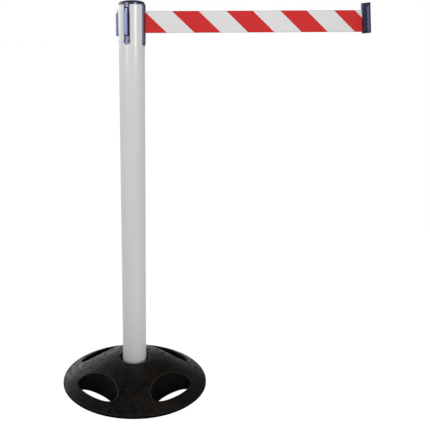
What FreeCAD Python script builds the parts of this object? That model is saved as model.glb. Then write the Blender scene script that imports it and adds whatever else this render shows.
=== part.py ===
import FreeCAD, Part
import math
import os

V = FreeCAD.Vector

# Retractable belt stanchion, millimetres.
# Origin on the floor at the post axis, +Z up, the belt pulls out along +X.

# ---- base ----
BASE_R = 195.0              # widest radius of the rubber base
BASE_FOOT_R = 192.0         # radius where the base meets the floor
DOME = [(195.0, 5.0), (193.9, 8.6), (189.0, 12.2), (175.0, 19.4), (155.0, 29.4),
        (135.0, 39.6), (110.0, 51.2), (85.0, 60.8), (60.0, 67.2), (43.0, 69.7)]
BASE_TOP = 69.7
MOUTH_R = 36.5              # flared mouth of the post socket
SOCKET_R = 31.9             # parallel part of the post socket
SOCKET_TOP = 46.0           # where the flare starts
WEB_BOTTOM = 14.0           # rubber web clamped between plate and plug
WEB_TOP = 22.0
PLATE_R = 45.0              # steel clamp plate under the web
PLATE_T = 4.0
OPENING_A = (63.0, 76.5)    # half length of a carry opening along the rim, at the floor and 60 mm up
OPENING_B = (21.0, 33.2)    # half width along the radius, at the same two heights
OPENING_RC = (140.0, 133.9)     # radius of the opening centre, at the same two heights
OPENING_AZ = [43.3, 133.3, 223.3, 313.3]
LIP = 3.0                   # rounded lip of the openings

# ---- base fastening ----
BOLT_R = 6.0                # M12
BOLT_HEAD_AF = 19.0
BOLT_HEAD_H = 7.5

# ---- post ----
TUBE_R = 31.75              # 2.5 in tube
TUBE_WALL = 2.0
TUBE_BOTTOM = WEB_TOP
TUBE_TOP = 991.0
SLOT_W = 14.5               # four open-topped slots at 90 degrees
SLOT_BOTTOM = 896.0         # belt exit slot
RAIL_SLOT_BOTTOM = 899.5    # the three receiver slots
EXIT_AZ = -22.5             # direction of the belt exit slot
RECEIVER_AZ = {"front": EXIT_AZ - 90.0, "left": EXIT_AZ - 180.0, "back": EXIT_AZ + 90.0}

# ---- belt ----
BELT_W = 50.8
BELT_T = 0.5
BELT_Z0 = 925.0
BELT_Z1 = BELT_Z0 + BELT_W
BELT_Y = -11.6              # plane of the straight run
BEND = V(28.5, BELT_Y, 0)   # bend of the belt round the exit pin
ROLL_IN = 12.52
ROLL_OUT = 20.8             # roll radius with about 0.55 m of belt pulled out
LEAD_GAP = 0.35             # air between the roll and the leaving belt

# ---- head and cassette ----
HEAD_R = 29.6
CHAMBER_R = 27.8
HEAD_BOTTOM = 874.0
HEAD_TOP = 990.8
PAD_R = 30.2                # recessed pads that close the slots behind the receivers
FOOT_R = 32.5               # raised foot at the bottom of each pad, lapped over the tube
FOOT_W = 16.4
FOOT_TOP = 911.0
EXIT_R = 34.3               # outer face of the exit guide
BEZEL_R = 32.9              # flange of the exit guide, lapped over the tube
BEZEL_W = 19.4
PIN_R = 1.5
PIN_NEAR = (28.83, -13.44)  # pin on the inside of the belt bend
PIN_FAR = (30.5, -9.8)
RAIL_Z0 = 917.5
RAIL_Z1 = 972.0
RAIL_STEM_W = 6.0
RAIL_HEAD_W = 10.0
RAIL_HEAD_R0 = 36.6
RAIL_HEAD_R1 = 39.8

# ---- spool and spring ----
SHAFT_R = 3.0
CORE_R = 12.5
FLANGE_R = 27.2
ANCHOR_X = 10.9             # pin that holds the inner end of the belt
DRUM_Z0 = 912.6
DRUM_Z1 = 980.5
SPRING_Z0 = 883.0
SPRING_Z1 = 907.0
SPRING_T = 0.4
SPRING_TURNS = 11
HOUSING_Z0 = 879.2
HOUSING_Z1 = 910.0

# ---- belt clip, drawn upright about its own centre: u away from the post, v across, w up ----
CLIP_AT = V(564.7, BELT_Y, 957.35)
CLIP_LEAN = 6.0             # top leans back towards the post, degrees
CLIP_U = 9.8                # half width
CLIP_V = 7.0                # half thickness
CLIP_W = 35.6               # half height
CLIP_SPLIT = 1.6            # joint between belt cover and channel body
PANEL_DEPTH = 1.0           # sunk panel on both faces of the cover
CHANNEL_TOP = 20.0
CHANNEL_U0 = 3.7            # cavity for the head of a receiver rail
CHANNEL_U1 = 7.8
CHANNEL_HALF = 5.4
THROAT_HALF = 3.4
CLIP_PIN_U = -4.0
CLIP_PIN_R = 1.25
HEM_W0 = -31.95             # sewn belt end on the pin
HEM_W1 = 18.85
BELT_END_U = -6.95          # where the single belt meets its sewn end
SCREW_W = 27.0
SCREW_V = 3.2


def box(x0, x1, y0, y1, z0, z1):
    return Part.makeBox(x1 - x0, y1 - y0, z1 - z0, V(x0, y0, z0))


def disc(r, z0, z1, x=0.0, y=0.0):
    return Part.makeCylinder(r, z1 - z0, V(x, y, z0))


def ring(r_out, r_in, z0, z1, x=0.0, y=0.0):
    return disc(r_out, z0, z1, x, y).cut(disc(r_in, z0 - 1, z1 + 1, x, y))


def turned(shape, azimuth):
    """Copy of a shape built on +X, swung round the post axis."""
    copy = shape.copy()
    copy.rotate(V(0, 0, 0), V(0, 0, 1), azimuth)
    return copy


def prism(points, z0, z1):
    """Closed polygon in plan, raised from z0 to z1."""
    wire = Part.makePolygon([V(x, y, z0) for x, y in points + points[:1]])
    return Part.Face(wire).extrude(V(0, 0, z1 - z0))


def side_prism(points, y0, y1):
    """Closed polygon in the XZ plane, carried from y0 to y1."""
    wire = Part.makePolygon([V(x, y0, z) for x, z in points + points[:1]])
    return Part.Face(wire).extrude(V(0, y1 - y0, 0))


def lathe(points):
    """Closed (radius, z) outline turned round the post axis."""
    wire = Part.makePolygon([V(r, 0, z) for r, z in points + points[:1]])
    return Part.Face(wire).revolve(V(0, 0, 0), V(0, 0, 1), 360)


def hexagon(across_flats, z0, z1):
    r = across_flats / math.sqrt(3)
    pts = [(r * math.cos(math.radians(60 * k)), r * math.sin(math.radians(60 * k))) for k in range(6)]
    return prism(pts, z0, z1)


def slot_prism(width, bottom, top, r0, r1):
    """Slot with a round bottom, cut along +X between radii r0 and r1."""
    half = width / 2
    low = Part.makeCylinder(half, r1 - r0, V(r0, 0, bottom + half), V(1, 0, 0))
    return low.fuse(box(r0, r1, -half, half, bottom + half, top)).removeSplitter()


def round_edges(shape, radius, wanted):
    """Fillet every edge that the test function picks."""
    edges = [e for e in shape.Edges if wanted(e)]
    return shape.makeFillet(radius, edges)


def is_vertical(edge):
    b = edge.BoundBox
    return b.XLength < 1e-4 and b.YLength < 1e-4 and b.ZLength > 5


# ------------------------------------------------------------------ base

def carry_opening(azimuth):
    """Oval hole whose walls draw in towards the floor."""
    rims = []
    for z in (-5.0, 90.0):
        share = z / 60.0
        a = OPENING_A[0] + (OPENING_A[1] - OPENING_A[0]) * share
        b = OPENING_B[0] + (OPENING_B[1] - OPENING_B[0]) * share
        centre = OPENING_RC[0] + (OPENING_RC[1] - OPENING_RC[0]) * share
        rim = Part.Wire(Part.Ellipse(V(0, 0, z), a, b).toShape())
        rim.rotate(V(0, 0, 0), V(0, 0, 1), 90)
        rim.translate(V(centre, 0, 0))
        rims.append(rim)
    return turned(Part.makeLoft(rims, True, True), azimuth)


def in_opening_band(edge):
    b = edge.BoundBox
    return 50 < edge.Length and b.ZMax > 12 and b.ZLength > 6 and max(b.XLength, b.YLength) < 140


def rubber_base():
    dome = Part.BSplineCurve()
    dome.interpolate([V(r, 0, z) for r, z in DOME])
    lip = Part.Arc(V(DOME[-1][0], 0, BASE_TOP), V(MOUTH_R + 1.6, 0, BASE_TOP - 1.6),
                   V(MOUTH_R, 0, BASE_TOP - 5.5)).toShape()
    outline = [(MOUTH_R, BASE_TOP - 5.5), (SOCKET_R, SOCKET_TOP), (SOCKET_R, WEB_TOP), (7.0, WEB_TOP),
               (7.0, WEB_BOTTOM), (PLATE_R + 1, WEB_BOTTOM), (PLATE_R + 1, 0.0),
               (BASE_FOOT_R, 0.0), (BASE_R, 3.0), (BASE_R, 5.0)]
    rest = Part.makePolygon([V(r, 0, z) for r, z in outline])
    wire = Part.Wire([dome.toShape(), lip] + rest.Edges)
    solid = Part.Face(wire).revolve(V(0, 0, 0), V(0, 0, 1), 360)
    for azimuth in OPENING_AZ:
        solid = solid.cut(carry_opening(azimuth))
    return round_edges(solid, LIP, in_opening_band)


def clamp_plate():
    return ring(PLATE_R, BOLT_R + 0.5, WEB_BOTTOM - PLATE_T, WEB_BOTTOM)


def lock_washer():
    z1 = WEB_BOTTOM - PLATE_T
    washer = ring(10.4, BOLT_R + 0.2, z1 - 2.0, z1)
    return washer.cut(box(BOLT_R - 1, 12, -0.8, 0.8, z1 - 3, z1 + 1))


def base_bolt():
    top = WEB_BOTTOM - PLATE_T - 2.0
    head = hexagon(BOLT_HEAD_AF, top - BOLT_HEAD_H, top)
    return head.fuse(disc(BOLT_R, top - 1, 56.0)).removeSplitter()


def tube_plug():
    r = TUBE_R - TUBE_WALL - 0.1
    plug = disc(r, WEB_TOP, 44.0).fuse(ring(r, r - 3, 43.0, 56.0))
    plug = plug.cut(disc(BOLT_R + 0.4, WEB_TOP - 1, 60))
    return plug.cut(hexagon(19.4, 40.0, 60.0)).removeSplitter()


def plug_nut():
    return hexagon(19.0, 40.2, 50.2).cut(disc(BOLT_R + 0.05, 39, 52))


# ------------------------------------------------------------------ post

def post_tube():
    r_in = TUBE_R - TUBE_WALL
    tube = lathe([(r_in, TUBE_BOTTOM), (TUBE_R, TUBE_BOTTOM), (TUBE_R, TUBE_TOP - 1.4),
                  (TUBE_R - 0.4, TUBE_TOP - 0.4), (TUBE_R - 1.2, TUBE_TOP), (r_in, TUBE_TOP)])
    tube = tube.cut(turned(slot_prism(SLOT_W, SLOT_BOTTOM, TUBE_TOP + 2, 20.0, 40.0), EXIT_AZ))
    for azimuth in RECEIVER_AZ.values():
        tube = tube.cut(turned(slot_prism(SLOT_W, RAIL_SLOT_BOTTOM, TUBE_TOP + 2, 20.0, 40.0), azimuth))
    return tube


# ------------------------------------------------------------------ head

def head_body():
    shell = ring(HEAD_R, CHAMBER_R, HEAD_BOTTOM, HEAD_TOP)
    shell = shell.fuse(disc(HEAD_R, HEAD_BOTTOM, HEAD_BOTTOM + 5).cut(disc(SHAFT_R + 0.02, 0, 900)))
    plain = slot_prism(SLOT_W - 0.4, RAIL_SLOT_BOTTOM + 0.2, HEAD_TOP, 20.0, 40.0)
    pad = plain.common(ring(PAD_R, CHAMBER_R, 880, 1000))
    foot = plain.common(ring(FOOT_R, CHAMBER_R, 880, FOOT_TOP))
    lap = slot_prism(FOOT_W, RAIL_SLOT_BOTTOM - 0.7, FOOT_TOP, 20.0, 40.0)
    lap = lap.common(ring(FOOT_R, TUBE_R + 0.05, 880, FOOT_TOP))
    pad = pad.fuse([foot, lap]).removeSplitter()
    pocket = box(20, 40, -RAIL_STEM_W / 2 - 0.1, RAIL_STEM_W / 2 + 0.1, RAIL_Z0 - 0.1, HEAD_TOP - 6)
    for azimuth in RECEIVER_AZ.values():
        shell = shell.fuse(turned(pad, azimuth))
        shell = shell.cut(turned(pocket, azimuth))
    window = slot_prism(SLOT_W - 0.2, SLOT_BOTTOM + 0.1, HEAD_TOP + 2, 20.0, 40.0)
    return shell.cut(turned(window, EXIT_AZ)).removeSplitter()


def receiver_rail():
    """T-section rail that a belt clip slides down over."""
    half = RAIL_STEM_W / 2
    stem = box(28.1, RAIL_HEAD_R0 + 0.5, -half, half, RAIL_Z0, RAIL_Z1)
    wide = RAIL_HEAD_W / 2
    head = box(RAIL_HEAD_R0, RAIL_HEAD_R1, -wide, wide, RAIL_Z0, RAIL_Z1)
    head = round_edges(head, 1.6, lambda e: is_vertical(e) and e.BoundBox.XMin > RAIL_HEAD_R1 - 0.1)
    toe = [(RAIL_HEAD_R1 + 1, RAIL_Z0 - 1), (RAIL_HEAD_R1 + 1, RAIL_Z0 + 5), (RAIL_HEAD_R1, RAIL_Z0 + 5),
           (RAIL_HEAD_R0 + 0.4, RAIL_Z0 - 1)]
    head = head.cut(side_prism(toe, -wide - 1, wide + 1))
    taper = [(28.1, RAIL_Z1 - 1), (36.4, RAIL_Z1 - 1), (35.4, RAIL_Z1 + 8), (35.0, HEAD_TOP - 9),
             (31.6, HEAD_TOP - 6.2), (28.1, HEAD_TOP - 6.2)]
    lead_in = side_prism(taper, -half, half)
    return stem.fuse([head, lead_in]).removeSplitter()


def belt_path(offset):
    """Plan line of the belt at a sideways offset: off the roll, round the bend, straight out."""
    radius = ROLL_OUT + LEAD_GAP + BELT_T / 2
    reach = math.hypot(BEND.x, BEND.y)
    angle = math.atan2(BEND.y, BEND.x) - math.acos(radius / reach)
    start = V(radius * math.cos(angle), radius * math.sin(angle), 0)
    along = (BEND - start).normalize()
    side = V(-along.y, along.x, 0)
    half_turn = math.atan2(along.y, along.x) / 2
    mitre = V(-math.sin(half_turn), math.cos(half_turn), 0) * (offset / math.cos(half_turn))
    return start + side * offset, BEND + mitre, V(0, BELT_Y + offset, 0), along


def belt_corridor(half_width, x_end, extra):
    """Band that follows the belt path, as wide as asked."""
    a0, b0, c0, along = belt_path(-half_width)
    a1, b1, c1, along = belt_path(half_width)
    a0 = a0 - along * extra
    a1 = a1 - along * extra
    return [(a0.x, a0.y), (b0.x, b0.y), (x_end, c0.y), (x_end, c1.y), (b1.x, b1.y), (a1.x, a1.y)]


def is_outer_corner(edge):
    corner = edge.BoundBox
    return is_vertical(edge) and math.hypot(corner.XMin, corner.YMin) > EXIT_R - 1


def exit_guide():
    body = slot_prism(SLOT_W - 0.4, SLOT_BOTTOM + 0.2, HEAD_TOP, 20.0, 40.0)
    body = turned(body, EXIT_AZ).common(ring(EXIT_R, CHAMBER_R + 0.1, 880, 1000))
    body = round_edges(body, 1.6, is_outer_corner)
    bezel = turned(slot_prism(BEZEL_W, SLOT_BOTTOM - 1.6, HEAD_TOP, 20.0, 40.0), EXIT_AZ)
    body = body.fuse(bezel.common(ring(BEZEL_R, TUBE_R + 0.05, 880, HEAD_TOP))).removeSplitter()
    body = body.cut(prism(belt_corridor(1.1, 45.0, 5.0), BELT_Z0 - 1.2, BELT_Z1 + 1.2))
    for x, y in (PIN_NEAR, PIN_FAR):
        body = body.cut(disc(PIN_R + 0.03, BELT_Z0 - 6.1, BELT_Z1 + 6.1, x, y))
    return body


def guide_pin(place):
    return disc(PIN_R, BELT_Z0 - 6, BELT_Z1 + 6, place[0], place[1])


def top_cap():
    rim = TUBE_TOP + 0.3
    boss = [(SHAFT_R + 0.05, 990.0), (SHAFT_R + 0.05, 983.0), (7.0, 983.0), (7.0, rim + 5.0)]
    spigot = [(20.0, rim + 5.0), (25.6, rim + 3.2), (25.6, 983.0), (CHAMBER_R - 0.1, 983.0),
              (CHAMBER_R - 0.1, rim)]
    dome = [(31.3, rim), (31.5, rim + 0.6), (31.5, rim + 3.4), (30.8, rim + 4.6), (28.0, rim + 6.4),
            (22.0, rim + 8.4), (14.0, rim + 9.8), (6.0, rim + 10.4), (5.3, rim + 10.4)]
    countersink = [(2.75, rim + 7.0), (2.75, 990.0)]
    return lathe(boss + spigot + dome + countersink)


def cap_screw():
    top = 1001.2
    screw = lathe([(0.0, 979.0), (2.05, 979.0), (2.4, 980.0), (2.4, top - 2.7), (4.9, top), (0.0, top)])
    return screw.cut(hexagon(3.0, top - 2.2, top + 1))


# ------------------------------------------------------------------ spool

def spool_shaft():
    return disc(SHAFT_R, HEAD_BOTTOM, 989.8).cut(disc(2.45, 978.0, 995.0))


def spool_drum():
    core = ring(CORE_R, 6.0, DRUM_Z0, DRUM_Z1)
    flange = ring(FLANGE_R, CORE_R - 1, BELT_Z0 - 4.0, BELT_Z0 - 1.5)
    drum = core.fuse(flange).cut(disc(7.55, DRUM_Z0 - 1, 918.1)).removeSplitter()
    return drum.cut(disc(1.25, BELT_Z0 - 1, BELT_Z1 + 1, ANCHOR_X, 0))


def spool_flange():
    return ring(FLANGE_R, CORE_R + 0.02, BELT_Z1 + 1.5, BELT_Z1 + 4.0)


def bush(z0, z1):
    return ring(5.97, SHAFT_R + 0.05, z0, z1)


def belt_roll():
    """Wound belt with its outer end stepped down where it leaves the roll."""
    a0, b0, c0, along = belt_path(0.0)
    leave = math.atan2(a0.y, a0.x)
    points = []
    steps = 96
    for k in range(steps):
        turn = k / steps
        r = ROLL_OUT - BELT_T * turn
        angle = leave - 2 * math.pi * turn
        points.append((r * math.cos(angle), r * math.sin(angle)))
    return prism(points, BELT_Z0, BELT_Z1).cut(disc(ROLL_IN, BELT_Z0 - 1, BELT_Z1 + 1))


def anchor_pin():
    return disc(1.2, BELT_Z0 - 0.5, BELT_Z1 + 0.5, ANCHOR_X, 0)


def spring_arbor():
    return ring(7.5, SHAFT_R + 0.08, 882.0, 918.0)


def mainspring():
    """Flat strip wound in a spiral between the arbor and the housing wall."""
    r0 = 7.95
    r1 = 25.4
    inner = []
    outer = []
    steps = SPRING_TURNS * 36
    for k in range(steps + 1):
        angle = 2 * math.pi * SPRING_TURNS * k / steps
        r = r0 + (r1 - r0) * k / steps
        inner.append((r * math.cos(angle), r * math.sin(angle)))
        outer.append(((r + SPRING_T) * math.cos(angle), (r + SPRING_T) * math.sin(angle)))
    return prism(inner + outer[::-1], SPRING_Z0, SPRING_Z1)


def spring_housing():
    cup = disc(CHAMBER_R - 0.15, HOUSING_Z0, HOUSING_Z1).cut(disc(26.2, HOUSING_Z0 + 1.5, HOUSING_Z1 + 1))
    return cup.cut(disc(SHAFT_R + 0.1, HOUSING_Z0 - 1, HOUSING_Z1))


def spring_cover():
    return ring(CHAMBER_R - 0.15, 8.2, HOUSING_Z1 + 0.1, HOUSING_Z1 + 2.0)


# ------------------------------------------------------------------ belt and clip

def leaned(shape):
    """Shape drawn in the clip's own frame, put in its place with the clip's lean."""
    copy = shape.copy()
    copy.rotate(V(0, 0, 0), V(0, -1, 0), CLIP_LEAN)
    copy.translate(CLIP_AT)
    return copy


def belt_run():
    run = prism(belt_corridor(BELT_T / 2, CLIP_AT.x, 0.0), BELT_Z0, BELT_Z1)
    return run.cut(leaned(box(BELT_END_U, 30, -10, 10, -60, 60)))


def belt_hem():
    """Sewn loop at the belt end, wrapped round the clip pin."""
    r_in = CLIP_PIN_R + 0.03
    r_out = r_in + BELT_T
    loop = ring(r_out, r_in, HEM_W0, HEM_W1, CLIP_PIN_U, 0)
    tail = box(BELT_END_U + 0.35, CLIP_PIN_U, -BELT_T, BELT_T, HEM_W0, HEM_W1)
    tail = tail.cut(disc(r_in, HEM_W0 - 1, HEM_W1 + 1, CLIP_PIN_U, 0))
    return leaned(loop.fuse(tail).removeSplitter())


def clip_block():
    """Whole clip: rounded upright edges, softened ends, a sunk panel on each face."""
    block = box(-CLIP_U, CLIP_U, -CLIP_V, CLIP_V, -CLIP_W, CLIP_W)
    block = block.makeFillet(2.2, [e for e in block.Edges if e.BoundBox.ZLength > 40])
    block = block.makeFillet(0.9, [e for e in block.Edges if abs(e.BoundBox.ZMin) > CLIP_W - 0.01
                                   and e.BoundBox.ZLength < 0.01])
    deep = [(-CLIP_U - 2, -31.2), (CLIP_SPLIT - 0.6, -31.2), (CLIP_SPLIT - 0.6, 25.2), (-CLIP_U - 2, 25.2)]
    wide = [(-CLIP_U - 2, -32.5), (CLIP_SPLIT + 4.4, -32.5), (CLIP_SPLIT + 4.4, 29.7), (-CLIP_U - 2, 29.7)]
    for side in (-1, 1):
        floor_v = side * (CLIP_V - PANEL_DEPTH)
        rims = []
        for rim, v in ((deep, floor_v), (wide, side * CLIP_V)):
            rims.append(Part.makePolygon([V(u, v, w) for u, w in rim + rim[:1]]))
        block = block.cut(Part.makeLoft(rims, True, True))
    return block


def clip_body():
    body = clip_block().common(box(CLIP_SPLIT, 20, -20, 20, -50, 50))
    body = body.cut(box(CHANNEL_U0, CHANNEL_U1, -CHANNEL_HALF, CHANNEL_HALF, -50, CHANNEL_TOP))
    body = body.cut(box(CHANNEL_U1 - 1, 20, -THROAT_HALF, THROAT_HALF, -50, CHANNEL_TOP))
    for side in (-SCREW_V, SCREW_V):
        body = body.cut(Part.makeCylinder(1.15, 6.0, V(CLIP_SPLIT - 1, side, SCREW_W), V(1, 0, 0)))
    return leaned(body)


def clip_cover():
    cover = clip_block().common(box(-20, CLIP_SPLIT - 0.05, -20, 20, -50, 50))
    slot_w1 = HEM_W1 + 1.6
    cover = cover.cut(box(-20, CLIP_PIN_U, -0.95, 0.95, HEM_W0 - 0.6, slot_w1))
    cover = cover.cut(disc(2.2, HEM_W0 - 0.6, slot_w1, CLIP_PIN_U, 0))
    cover = cover.cut(disc(CLIP_PIN_R + 0.03, -CLIP_W + 1.0, HEM_W1 + 5.1, CLIP_PIN_U, 0))
    for side in (-SCREW_V, SCREW_V):
        cover = cover.cut(Part.makeCylinder(1.4, 20.0, V(-CLIP_U - 1, side, SCREW_W), V(1, 0, 0)))
        cover = cover.cut(Part.makeCylinder(2.6, 4.0, V(-CLIP_U - 1.6, side, SCREW_W), V(1, 0, 0)))
    return leaned(cover)


def clip_pin():
    return leaned(disc(CLIP_PIN_R, -CLIP_W + 1.1, HEM_W1 + 5, CLIP_PIN_U, 0))


def clip_screws():
    screws = []
    seat = -CLIP_U + 2.4
    for side in (-SCREW_V, SCREW_V):
        head = Part.makeCylinder(2.4, 1.6, V(seat - 1.6, side, SCREW_W), V(1, 0, 0))
        shank = Part.makeCylinder(1.1, 13.4, V(seat - 0.1, side, SCREW_W), V(1, 0, 0))
        slot = box(seat - 1.7, seat - 0.9, side - 0.35, side + 0.35, SCREW_W - 4, SCREW_W + 4)
        screws.append(leaned(head.fuse(shank).removeSplitter().cut(slot)))
    return Part.makeCompound(screws)


PARTS = {
    "rubber_base": rubber_base(),
    "base_clamp_plate": clamp_plate(),
    "base_lock_washer": lock_washer(),
    "base_bolt": base_bolt(),
    "tube_plug": tube_plug(),
    "plug_nut": plug_nut(),
    "post_tube": post_tube(),
    "head_body": head_body(),
    "exit_guide": exit_guide(),
    "guide_pin_near": guide_pin(PIN_NEAR),
    "guide_pin_far": guide_pin(PIN_FAR),
    "top_cap": top_cap(),
    "cap_screw": cap_screw(),
    "spool_shaft": spool_shaft(),
    "spool_drum": spool_drum(),
    "spool_flange": spool_flange(),
    "lower_bush": bush(918.3, 930.0),
    "upper_bush": bush(968.0, 980.0),
    "belt_roll": belt_roll(),
    "belt_anchor_pin": anchor_pin(),
    "spring_arbor": spring_arbor(),
    "mainspring": mainspring(),
    "spring_housing": spring_housing(),
    "spring_cover": spring_cover(),
    "belt_run": belt_run(),
    "belt_hem": belt_hem(),
    "clip_body": clip_body(),
    "clip_cover": clip_cover(),
    "clip_pin": clip_pin(),
    "clip_screws": clip_screws(),
}
for name, azimuth in RECEIVER_AZ.items():
    PARTS["receiver_" + name] = turned(receiver_rail(), azimuth)

os.makedirs("parts", exist_ok=True)
for name, shape in PARTS.items():
    shape.exportStep("parts/" + name + ".step")
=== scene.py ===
import math

import bmesh
import bpy
from mathutils import Matrix, Vector


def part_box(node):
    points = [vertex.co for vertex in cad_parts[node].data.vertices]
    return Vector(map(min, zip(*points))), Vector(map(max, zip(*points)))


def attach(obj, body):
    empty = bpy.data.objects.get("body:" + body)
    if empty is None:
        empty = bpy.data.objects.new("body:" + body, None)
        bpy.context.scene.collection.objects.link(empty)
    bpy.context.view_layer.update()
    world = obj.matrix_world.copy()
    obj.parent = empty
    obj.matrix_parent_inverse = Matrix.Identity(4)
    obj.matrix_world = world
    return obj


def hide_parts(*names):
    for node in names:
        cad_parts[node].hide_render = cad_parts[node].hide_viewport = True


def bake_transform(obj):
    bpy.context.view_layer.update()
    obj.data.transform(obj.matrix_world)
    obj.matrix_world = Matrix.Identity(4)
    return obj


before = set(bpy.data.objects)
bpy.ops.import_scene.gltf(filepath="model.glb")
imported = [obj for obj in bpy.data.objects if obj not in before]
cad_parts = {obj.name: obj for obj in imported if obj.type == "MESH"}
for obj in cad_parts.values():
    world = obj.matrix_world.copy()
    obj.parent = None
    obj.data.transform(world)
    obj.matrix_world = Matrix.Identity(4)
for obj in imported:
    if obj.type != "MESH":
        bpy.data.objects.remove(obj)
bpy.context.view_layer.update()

# Retractable belt stanchion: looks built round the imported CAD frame, in metres.

# ---- camera: stands in front of the post, near its top ----
CAMERA_AT = Vector((-0.0269, -1.6307, 0.9184))
CAMERA_YAW = math.radians(1.70)         # turned from +Y towards +X
CAMERA_PITCH = math.radians(13.89)      # looking down
CAMERA_ROLL = math.radians(-0.33)
LENS_MM = 54.84
SENSOR_MM = 36.0
SHIFT_X = 0.1707
SHIFT_Y = -0.0397

# ---- openings of the base, as the CAD has them near the dome's surface ----
OPENING_TURN = 43.3                     # degrees from +X to the first one
OPENING_CENTRE = 0.134
OPENING_HALF = (0.0335, 0.0745)         # across and along the rim, to the outside of its lip

# ---- belt ----
BELT_THICK = 0.0005
WOVEN_EDGE = 0.0012                     # width of the fuller edge of the weave
RIB_PITCH = 0.0009                      # ribs of the weave along the belt
WARP_PITCH = 0.0006                     # threads of the weave across it
STRIPE_PERIOD = 0.1298                  # along the belt, one red and one white band
STRIPE_SLANT = 1.086                    # how far a band runs along the belt for each metre of height
STRIPE_START = 1.1555                   # where x + slant * z enters a red band
RED_SHARE = 0.491
LAST_RED = 1.5955                       # the red band at the clip is cut short here
END_SECTION = 0.022                     # stiff end of the belt, ahead of the clip
ROLL_IN = 0.01252                       # wound belt on the spool
ROLL_OUT = 0.0208
STEPS_A_TURN = 40                       # of the wound belt
BELT_LEAVES = Vector((0.00796, -0.01986))   # plan point where the belt comes off the roll
BELT_BENDS = 0.0285                     # x of the bend round the exit pin
EXIT_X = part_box("exit_guide")[1].x + 0.0002     # the belt is held by the head up to here
CLIP_LEAN = math.radians(6.0)           # the clip's top leans back towards the post
LOOP_RADIUS = 0.00153                   # sewn loop round the clip's pin, to the middle of the belt
LOOP_SEAM = 0.0019                      # its two layers meet this far from the pin
LOOP_TAIL = 0.0026                      # and end this far from it

# ---- studio ----
FLOOR_RADIUS = 60.0
FLOOR_SEEN = 0.3                        # what the camera sees: part reflection, part glow
FLOOR_GLOW = 0.92
FLOOR_BOUNCE = 0.76                     # what lights the object: a glow, with a painted shadow under the base
# radius of that painted shadow
SHADE_RADIUS = 0.2
SKY_BACK = [(0.0, 0.9), (0.1, 1.8), (0.3, 0.4), (1.0, 0.04)]     # brightness by sine of height
SKY_FRONT = [(0.0, 0.2), (0.12, 0.2), (0.3, 0.66), (0.55, 0.66), (0.75, 0.2), (1.0, 0.05)]
SKY_LEFT = (1.1, 1.85)                  # share of the front and of the back light on the left
SKY_RIGHT = (0.85, 0.16)                # and on the right
SKY_SPAN = (-0.5, 0.4)                  # x of a sky direction where left has faded into right
SKY_MOST = 2.0                          # brightness at the top of the sky curves
SOFTBOXES = [                           # name, place, aim, width, height, watts, shows in gloss
    ("key_right", (0.498, -0.809, 1.45), (0.0, 0.0, 1.42), 0.32, 1.2, 5.8, True),
    ("key_left", (-1.10, -1.14, 1.45), (0.0, 0.0, 1.42), 0.7, 1.2, 10.0, True),
    ("fill_low", (0.42, -0.46, 0.12), (0.0, 0.0, 0.06), 0.4, 0.2, 0.9, False),
]

PLASTIC_NODES = ["head_body", "exit_guide", "receiver_front", "receiver_left", "receiver_back", "top_cap"]
CLIP_NODES = ["clip_body", "clip_cover"]
INNER_NODES = ["tube_plug", "spool_drum", "spool_flange", "spring_arbor", "spring_housing", "spring_cover"]
BUSH_NODES = ["lower_bush", "upper_bush"]
STEEL_NODES = ["base_clamp_plate", "base_lock_washer", "base_bolt", "plug_nut", "guide_pin_near",
               "guide_pin_far", "cap_screw", "spool_shaft", "belt_anchor_pin", "clip_pin", "clip_screws"]


# ------------------------------------------------------------------ node helpers

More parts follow.
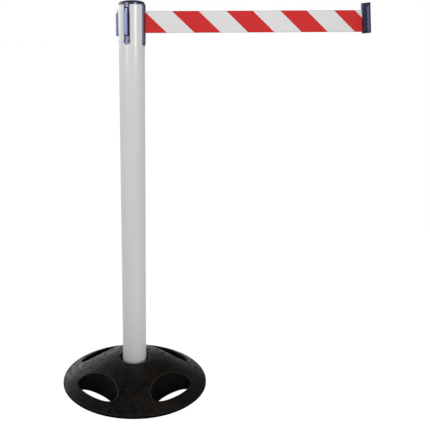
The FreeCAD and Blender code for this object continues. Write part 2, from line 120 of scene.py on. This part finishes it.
class Shader:
    """One procedural material with its node tree."""

    def __init__(self, name):
        self.material = bpy.data.materials.new(name)
        self.material.use_nodes = True
        self.tree = self.material.node_tree
        self.tree.nodes.clear()
        self.out = self.node("ShaderNodeOutputMaterial")
        self.skin = self.node("ShaderNodeBsdfPrincipled")
        self.link(self.skin.outputs["BSDF"], self.out.inputs["Surface"])
        self.place = self.node("ShaderNodeTexCoord").outputs["Object"]

    def node(self, kind, **settings):
        made = self.tree.nodes.new(kind)
        for key, value in settings.items():
            setattr(made, key, value)
        return made

    def link(self, source, target):
        self.tree.links.new(source, target)

    def feed(self, target, value):
        """Links a socket, or sets a plain number or colour."""
        if isinstance(value, bpy.types.NodeSocket):
            self.link(value, target)
        else:
            target.default_value = value

    def set(self, **values):
        """Inputs of the surface, links or numbers: Base_Color stands for Base Color."""
        for key, value in values.items():
            self.feed(self.skin.inputs[key.replace("_", " ")], value)

    def math(self, operation, first, second=0.0):
        made = self.node("ShaderNodeMath", operation=operation)
        self.feed(made.inputs[0], first)
        self.feed(made.inputs[1], second)
        return made.outputs[0]

    def noise(self, scale, detail=3.0, rough=0.5):
        made = self.node("ShaderNodeTexNoise")
        self.link(self.place, made.inputs["Vector"])
        made.inputs["Scale"].default_value = scale
        made.inputs["Detail"].default_value = detail
        made.inputs["Roughness"].default_value = rough
        return made.outputs["Fac"]

    def crumbs(self, scale, output="Color"):
        made = self.node("ShaderNodeTexVoronoi")
        self.link(self.place, made.inputs["Vector"])
        made.inputs["Scale"].default_value = scale
        return made.outputs[output]

    def ramp(self, source, stops):
        """Colour ramp from (position, colour or grey) pairs."""
        made = self.node("ShaderNodeValToRGB")
        ramp = made.color_ramp
        while len(ramp.elements) < len(stops):
            ramp.elements.new(1.0)
        for element, (position, colour) in zip(ramp.elements, stops):
            element.position = position
            element.color = (*colour, 1.0) if isinstance(colour, tuple) else (colour, colour, colour, 1.0)
        self.feed(made.inputs["Fac"], source)
        return made.outputs["Color"]

    def mix(self, share, first, second, blend="MIX"):
        """Mix of two colours, each a link or an (r, g, b) tuple."""
        made = self.node("ShaderNodeMix", data_type="RGBA", blend_type=blend)    # 6 and 7 are its colours
        self.feed(made.inputs[0], share)
        self.feed(made.inputs[6], (*first, 1.0) if isinstance(first, tuple) else first)
        self.feed(made.inputs[7], (*second, 1.0) if isinstance(second, tuple) else second)
        return made.outputs[2]

    def axis(self, which):
        split = self.node("ShaderNodeSeparateXYZ")
        self.link(self.place, split.inputs[0])
        return split.outputs[which]

    def radius(self, x, y):
        """Length of the plan vector x, y."""
        return self.math("SQRT", self.math("ADD", self.math("MULTIPLY", x, x), self.math("MULTIPLY", y, y)))

    def facing_up(self):
        """1 where the surface faces up, 0 on walls."""
        facing = self.node("ShaderNodeSeparateXYZ")
        self.link(self.node("ShaderNodeNewGeometry").outputs["Normal"], facing.inputs[0])
        return self.ramp(facing.outputs["Z"], [(0.2, 0.0), (0.75, 1.0)])

    def rim_band(self):
        """Above 0 on the rims of the four openings of the base, 0 elsewhere."""
        x = self.axis("X")
        y = self.axis("Y")
        quarter = self.math("DIVIDE", self.math("ARCTAN2", y, x), math.pi / 2)
        share = self.math("FRACT", self.math("SUBTRACT", quarter, OPENING_TURN / 90.0 - 0.5))
        turn = self.math("MULTIPLY", self.math("SUBTRACT", share, 0.5), math.pi / 2)
        radius = self.radius(x, y)
        out = self.math("SUBTRACT", self.math("MULTIPLY", radius, self.math("COSINE", turn)), OPENING_CENTRE)
        along = self.math("MULTIPLY", radius, self.math("SINE", turn))
        reach = self.radius(self.math("DIVIDE", out, OPENING_HALF[0]),
                            self.math("DIVIDE", along, OPENING_HALF[1]))
        return self.ramp(reach, [(0.91, 0.0), (0.94, 0.6), (0.965, 0.6), (0.985, 0.0)])

    def bump(self, height, strength, distance):
        made = self.node("ShaderNodeBump")
        made.inputs["Strength"].default_value = strength
        made.inputs["Distance"].default_value = distance
        self.link(height, made.inputs["Height"])
        self.link(made.outputs["Normal"], self.skin.inputs["Normal"])


# ------------------------------------------------------------------ materials

def rubber_material():
    """Pressed black rubber crumb: mottled, with dust and painted light where it faces up, painted shade and
    a dull finish on the walls, lighter opening rims.
    """
    look = Shader("recycled_rubber")
    up = look.facing_up()
    crumb = look.node("ShaderNodeSeparateColor")
    look.link(look.crumbs(420.0), crumb.inputs[0])
    fleck = look.ramp(crumb.outputs[0], [(0.0, (0.0016, 0.0016, 0.0017)), (0.55, (0.0022, 0.002, 0.002)),
                                         (0.8, (0.005, 0.0038, 0.003)), (1.0, (0.014, 0.011, 0.009))])
    cloud = look.ramp(look.noise(26.0, 4.0, 0.6), [(0.3, 0.5), (0.7, 1.8)])
    colour = look.mix(1.0, fleck, cloud, "MULTIPLY")
    # painted shade: the walls are darkened to 0.35 of the colour
    colour = look.mix(up, look.mix(1.0, colour, (0.35, 0.35, 0.35), "MULTIPLY"), colour)
    # lighter patches and specks where it faces up: dust, and painted light on the tops
    patch = look.ramp(look.noise(16.0, 6.0, 0.7), [(0.44, 0.0), (0.6, 0.8)])
    colour = look.mix(look.math("MULTIPLY", up, patch), colour, (0.013, 0.0105, 0.0085))
    speck = look.ramp(look.noise(150.0, 3.0, 0.6), [(0.54, 0.0), (0.64, 0.7)])
    colour = look.mix(look.math("MULTIPLY", up, speck), colour, (0.0155, 0.0125, 0.01))
    # lighter band on the rims of the openings, where they face up
    colour = look.mix(look.math("MULTIPLY", up, look.rim_band()), colour, (0.04, 0.03, 0.019))
    worn = look.ramp(look.noise(70.0, 5.0, 0.75), [(0.36, 0.2), (0.64, 0.6)])
    look.set(Base_Color=colour, Roughness=look.mix(up, (1.0, 1.0, 1.0), worn), Specular_IOR_Level=0.14)
    look.bump(look.math("ADD", look.noise(700.0, 4.0), look.crumbs(420.0, "Distance")), 0.35, 0.0006)
    return look.material


def paint_material():
    """Satin light grey powder coat with a fine orange peel."""
    look = Shader("post_paint")
    look.set(Base_Color=look.ramp(look.noise(9.0), [(0.3, (0.56, 0.56, 0.56)), (0.7, (0.58, 0.58, 0.58))]))
    look.set(Roughness=look.ramp(look.noise(60.0), [(0.3, 0.17), (0.7, 0.22)]), Specular_IOR_Level=0.9)
    look.bump(look.noise(1400.0, 2.0), 0.06, 0.0002)
    return look.material


def plastic_material(name, rough, gloss, tint):
    """Glossy near-black navy moulding with a faint spark-eroded grain."""
    look = Shader(name)
    navy = [(0.3, (0.003, 0.004, 0.013)), (0.7, (0.005, 0.0065, 0.018))]
    look.set(Base_Color=look.ramp(look.noise(40.0), navy))
    look.set(Roughness=look.ramp(look.noise(220.0), [(0.3, rough), (0.7, rough + 0.08)]))
    look.set(Specular_IOR_Level=gloss, IOR=1.8, Specular_Tint=(*tint, 1.0))
    look.bump(look.noise(2600.0, 2.0), 0.05, 0.0002)
    return look.material


def inner_plastic_material(name, low, high):
    """Plain moulded plastic of the hidden parts."""
    look = Shader(name)
    look.set(Base_Color=look.ramp(look.noise(70.0), [(0.3, low), (0.7, high)]))
    look.set(Roughness=look.ramp(look.noise(300.0), [(0.3, 0.45), (0.7, 0.6)]))
    look.bump(look.noise(1800.0, 2.0), 0.08, 0.0002)
    return look.material


def metal_material(name, low, high, rough):
    """Plated or rolled metal with faint patches."""
    look = Shader(name)
    look.set(Base_Color=look.ramp(look.noise(120.0), [(0.3, low), (0.7, high)]), Metallic=1.0)
    look.set(Roughness=look.ramp(look.noise(400.0), [(0.3, rough), (0.7, rough + 0.12)]))
    look.bump(look.noise(2200.0), 0.05, 0.0001)
    return look.material


def belt_material(name, wound):
    """Woven polyester tape: slanted red and white bands, ribs across it, darker woven edges.

    The bands of the wound belt follow its length, kept on the mesh as lay_length."""
    look = Shader(name)
    lay = look.node("ShaderNodeAttribute", attribute_name="lay_length").outputs["Fac"]
    up = look.axis("Z")
    slant = look.math("MULTIPLY", up, STRIPE_SLANT)
    along = lay if wound else look.axis("X")
    from_start = look.math("SUBTRACT", look.math("ADD", along, slant), STRIPE_START)
    band = look.math("FRACT", look.math("DIVIDE", from_start, STRIPE_PERIOD))
    red = look.math("LESS_THAN", band, RED_SHARE)
    red = look.math("MULTIPLY", red, look.math("LESS_THAN", look.math("ADD", lay, slant), LAST_RED))
    thread = look.ramp(look.noise(900.0, 2.0), [(0.3, 0.9), (0.7, 1.05)])
    colour = look.mix(red, (0.61, 0.6, 0.6), (0.5, 0.012, 0.012))
    colour = look.mix(1.0, colour, thread, "MULTIPLY")
    low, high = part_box("belt_run")
    off_middle = look.math("ABSOLUTE", look.math("SUBTRACT", up, (low.z + high.z) / 2))
    edge = look.math("GREATER_THAN", off_middle, (high.z - low.z) / 2 - WOVEN_EDGE)
    look.set(Base_Color=look.mix(look.math("MULTIPLY", edge, 0.3), colour, (0.05, 0.02, 0.02)))
    look.set(Roughness=look.ramp(look.noise(500.0), [(0.3, 0.66), (0.7, 0.8)]))
    look.set(Sheen_Weight=0.08, Specular_IOR_Level=0.3)
    rib = look.math("SINE", look.math("MULTIPLY", along, 2 * math.pi / RIB_PITCH))
    warp = look.math("SINE", look.math("MULTIPLY", up, 2 * math.pi / WARP_PITCH))
    look.bump(look.math("MULTIPLY", rib, warp), 0.25, 0.00012)
    return look.material


def floor_material():
    """Light table: near white where it is seen; for the light it gives back, a glow with a painted shadow
    under the base.
    """
    look = Shader("studio_floor")
    look.set(Base_Color=look.ramp(look.noise(1.5), [(0.3, FLOOR_SEEN), (0.7, FLOOR_SEEN + 0.02)]))
    look.set(Roughness=0.8, Specular_IOR_Level=0.1)
    look.set(Emission_Color=(1.0, 1.0, 1.0, 1.0), Emission_Strength=FLOOR_GLOW)
    radius = look.radius(look.axis("X"), look.axis("Y"))
    bounce = look.node("ShaderNodeEmission")
    # painted shadow: the glow drops to 0.02 under the base
    shade = [(SHADE_RADIUS - 0.03, 0.02), (SHADE_RADIUS + 0.07, FLOOR_BOUNCE)]
    look.feed(bounce.inputs["Color"], look.ramp(radius, shade))
    choose = look.node("ShaderNodeMixShader")
    look.link(look.node("ShaderNodeLightPath").outputs["Is Camera Ray"], choose.inputs["Fac"])
    look.link(bounce.outputs[0], choose.inputs[1])
    look.link(look.skin.outputs[0], choose.inputs[2])
    look.link(choose.outputs[0], look.out.inputs["Surface"])
    return look.material


# ------------------------------------------------------------------ pieces

def paint_nodes(names, material):
    for name in names:
        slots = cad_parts[name].data.materials
        slots.clear()
        slots.append(material)


def finish_mesh(name, mesh, material):
    """New object from a bmesh, with its material."""
    data = bpy.data.meshes.new(name)
    bmesh.ops.recalc_face_normals(mesh, faces=mesh.faces)
    mesh.to_mesh(data)
    mesh.free()
    data.materials.append(material)
    piece = bpy.data.objects.new(name, data)
    bpy.context.scene.collection.objects.link(piece)
    return piece


def belt_section(width, thick, z_mid):
    """Cross-section of the belt, (sideways, height) pairs: flat faces that taper to a rounded edge."""
    half = width / 2
    flat = thick / 2
    side = [(flat * 0.9, -half + WOVEN_EDGE), (flat, -half + WOVEN_EDGE / 2),
            (flat * 0.7, -half + WOVEN_EDGE / 8), (0.0, -half)]
    lower = side + [(-across, height) for across, height in reversed(side[:-1])]
    upper = [(across, -height) for across, height in reversed(lower)]
    return [(across, z_mid + height) for across, height in lower + upper]


def strip(name, path, thick, material, lay=None, start_length=0.0):
    """Belt laid along a plan line, upright. lay moves a point of it to its place.

    Each point keeps its distance along the belt, in metres, as lay_length."""
    low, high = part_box("belt_run")
    section = belt_section(high.z - low.z, thick, (low.z + high.z) / 2)
    mesh = bmesh.new()
    kept = mesh.verts.layers.float.new("lay_length")
    runs = [(end - start).normalized() for start, end in zip(path, path[1:])]
    rings = []
    length = start_length
    for k, point in enumerate(path):
        before = runs[max(k - 1, 0)]
        after = runs[min(k, len(runs) - 1)]
        along = (before + after).normalized()
        side = Vector((-along.y, along.x)) / max(along.dot(after), 0.5)     # mitred at a bend
        if k:
            length += (point - path[k - 1]).length
        ring = []
        for across, z in section:
            flat_x = point.x + side.x * across
            place = Vector((flat_x, point.y + side.y * across, z))
            vertex = mesh.verts.new(lay(place) if lay else place)
            vertex[kept] = length + vertex.co.x - flat_x
            ring.append(vertex)
        rings.append(ring)
    for near, far in zip(rings, rings[1:]):
        for k in range(len(section)):
            following = (k + 1) % len(section)
            mesh.faces.new((near[k], near[following], far[following], far[k]))
    mesh.faces.new(rings[0])
    mesh.faces.new(rings[-1][::-1])
    return finish_mesh(name, mesh, material), length - start_length


def belt_band(material, hem):
    """Belt from the roll, round the exit pin and out to the clip.

    The straight run has points only at its two ends."""
    low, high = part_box("belt_run")
    y_run = high.y - BELT_THICK / 2
    bend = Vector((BELT_BENDS, y_run))
    path = [BELT_LEAVES.lerp(bend, share) for share in (0.0, 0.3, 0.6, 0.85, 1.0)]
    path += [Vector((x, y_run)) for x in (EXIT_X, high.x - END_SECTION, high.x)]

    def slanted_end(place):
        if place.x > high.x - BELT_THICK:
            place.x -= math.tan(CLIP_LEAN) * (place.z - low.z)
        return place

    start_length = BELT_BENDS - (bend - BELT_LEAVES).length     # so that lay_length is x on the straight run
    band, length = strip("belt_band", path, BELT_THICK, material, slanted_end, start_length)
    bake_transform(band)
    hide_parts("belt_run")
    length -= math.tan(CLIP_LEAN) * (high.z - low.z) / 2


def wound_belt(material):
    """The rest of the belt, turn on turn round the spool's core."""
    turns = (ROLL_OUT - ROLL_IN) / BELT_THICK - 0.5
    leave = math.atan2(BELT_LEAVES.y, BELT_LEAVES.x)
    steps = int(turns * STEPS_A_TURN)
    path = []
    for k in range(steps + 1):
        turn = turns * (1 - k / steps)
        radius = ROLL_OUT - BELT_THICK * (turn + 0.5)
        angle = leave - 2 * math.pi * turn
        path.append(Vector((radius * math.cos(angle), radius * math.sin(angle))))
    total = sum((end - start).length for start, end in zip(path, path[1:]))
    roll, length = strip("wound_belt", path, BELT_THICK * 0.8, material, None, -total)
    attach(roll, "spool")
    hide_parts("belt_roll")


def belt_loop(material):
    """Sewn end of the belt: both layers of it and the loop round the clip's pin."""
    pin_low, pin_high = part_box("clip_pin")
    pin = (pin_low + pin_high) / 2
    path = [Vector((-LOOP_TAIL, BELT_THICK / 2)), Vector((-LOOP_SEAM, BELT_THICK / 2))]
    for degrees in range(145, -146, -29):
        angle = math.radians(degrees)
        path.append(Vector((LOOP_RADIUS * math.cos(angle), LOOP_RADIUS * math.sin(angle))))
    path += [Vector((-LOOP_SEAM, -BELT_THICK / 2)), Vector((-LOOP_TAIL, -BELT_THICK / 2))]

    def on_pin(place):
        x = pin.x + place.x - math.tan(CLIP_LEAN) * (place.z - pin.z)
        return Vector((x, pin.y + place.y, place.z))

    loop = strip("belt_loop", path, BELT_THICK * 0.9, material, on_pin)[0]
    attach(loop, "belt_end")
    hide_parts("belt_hem")
    return loop


# ------------------------------------------------------------------ stage

def camera():
    data = bpy.data.cameras.new("photo_camera")
    data.sensor_width = SENSOR_MM
    data.lens = LENS_MM
    data.shift_x = SHIFT_X
    data.shift_y = SHIFT_Y
    data.clip_start = 0.01
    made = bpy.data.objects.new("photo_camera", data)
    bpy.context.scene.collection.objects.link(made)
    turn = (Matrix.Rotation(-CAMERA_YAW, 4, "Z") @ Matrix.Rotation(math.pi / 2 - CAMERA_PITCH, 4, "X")
            @ Matrix.Rotation(CAMERA_ROLL, 4, "Z"))
    made.matrix_world = Matrix.Translation(CAMERA_AT) @ turn
    bpy.context.scene.camera = made


def floor():
    mesh = bmesh.new()
    bmesh.ops.create_circle(mesh, cap_ends=True, radius=FLOOR_RADIUS, segments=128)
    data = bpy.data.meshes.new("studio_floor")
    mesh.to_mesh(data)
    mesh.free()
    data.materials.append(floor_material())
    made = bpy.data.objects.new("studio_floor", data)
    bpy.context.scene.collection.objects.link(made)


def softbox(name, place, target, width, height, power, shows):
    data = bpy.data.lights.new(name, "AREA")
    data.shape = "RECTANGLE"
    data.size = width
    data.size_y = height
    data.energy = power
    made = bpy.data.objects.new(name, data)
    bpy.context.scene.collection.objects.link(made)
    made.location = place
    made.rotation_euler = (Vector(target) - Vector(place)).to_track_quat("-Z", "Y").to_euler()
    made.visible_camera = False
    made.visible_glossy = shows


def fade(tree, source, span, first, second):
    """Number that goes from first to second as source goes through span."""
    made = tree.nodes.new("ShaderNodeMapRange")
    made.inputs["From Min"].default_value = span[0]
    made.inputs["From Max"].default_value = span[1]
    made.inputs["To Min"].default_value = first
    made.inputs["To Max"].default_value = second
    tree.links.new(source, made.inputs["Value"])
    return made.outputs["Result"]


def sky_half(tree, direction, stops, left, right):
    """Brightness of the front or back half of the sky, as a share of SKY_MOST."""
    height = tree.nodes.new("ShaderNodeFloatCurve")
    curve = height.mapping.curves[0]
    while len(curve.points) < len(stops):
        curve.points.new(0.5, 0.5)
    for point, (sine, brightness) in zip(curve.points, stops):
        point.location = (sine, brightness / SKY_MOST)
        point.handle_type = "VECTOR"
    height.mapping.update()
    tree.links.new(direction["Z"], height.inputs["Value"])
    sides = fade(tree, direction["X"], SKY_SPAN, left, right)
    half = tree.nodes.new("ShaderNodeMath")
    half.operation = "MULTIPLY"
    tree.links.new(height.outputs["Value"], half.inputs[0])
    tree.links.new(sides, half.inputs[1])
    return half.outputs[0]


def studio_world():
    """Soft studio, brighter on the left and low behind; plain white where the camera sees it."""
    world = bpy.data.worlds.new("studio")
    bpy.context.scene.world = world
    world.use_nodes = True
    tree = world.node_tree
    tree.nodes.clear()
    place = tree.nodes.new("ShaderNodeTexCoord")
    split = tree.nodes.new("ShaderNodeSeparateXYZ")
    tree.links.new(place.outputs["Generated"], split.inputs[0])
    direction = split.outputs
    level = tree.nodes.new("ShaderNodeMix")
    tree.links.new(fade(tree, direction["Y"], (-0.5, 0.5), 0.0, 1.0), level.inputs[0])
    tree.links.new(sky_half(tree, direction, SKY_FRONT, SKY_LEFT[0], SKY_RIGHT[0]), level.inputs[2])
    tree.links.new(sky_half(tree, direction, SKY_BACK, SKY_LEFT[1], SKY_RIGHT[1]), level.inputs[3])
    both = tree.nodes.new("ShaderNodeMath")
    both.operation = "MULTIPLY"
    both.inputs[1].default_value = SKY_MOST
    tree.links.new(level.outputs[0], both.inputs[0])
    light = tree.nodes.new("ShaderNodeBackground")
    tree.links.new(both.outputs[0], light.inputs["Color"])
    seen = tree.nodes.new("ShaderNodeBackground")
    seen.inputs["Color"].default_value = (1.0, 1.0, 1.0, 1.0)
    choose = tree.nodes.new("ShaderNodeMixShader")
    path = tree.nodes.new("ShaderNodeLightPath")
    tree.links.new(path.outputs["Is Camera Ray"], choose.inputs["Fac"])
    tree.links.new(light.outputs[0], choose.inputs[1])
    tree.links.new(seen.outputs[0], choose.inputs[2])
    out = tree.nodes.new("ShaderNodeOutputWorld")
    tree.links.new(choose.outputs[0], out.inputs["Surface"])


bpy.context.scene.view_settings.view_transform = "Standard"
camera()
studio_world()
floor()
for box in SOFTBOXES:
    softbox(*box)

paint_nodes(["rubber_base"], rubber_material())
paint_nodes(["post_tube"], paint_material())
paint_nodes(PLASTIC_NODES, plastic_material("head_plastic", 0.18, 1.0, (0.62, 0.67, 1.0)))
paint_nodes(CLIP_NODES, plastic_material("clip_plastic", 0.26, 0.38, (0.5, 0.55, 1.0)))
paint_nodes(INNER_NODES, inner_plastic_material("inner_plastic", (0.02, 0.02, 0.022), (0.035, 0.035, 0.038)))
paint_nodes(STEEL_NODES, metal_material("zinc_steel", (0.55, 0.55, 0.54), (0.68, 0.68, 0.66), 0.28))
paint_nodes(BUSH_NODES, inner_plastic_material("bush_plastic", (0.72, 0.7, 0.64), (0.8, 0.78, 0.72)))
paint_nodes(["mainspring"], metal_material("spring_steel", (0.12, 0.14, 0.18), (0.2, 0.22, 0.27), 0.3))

weave = belt_material("belt_weave", False)
belt_band(weave, belt_loop(weave))
wound_belt(belt_material("belt_weave_wound", True))
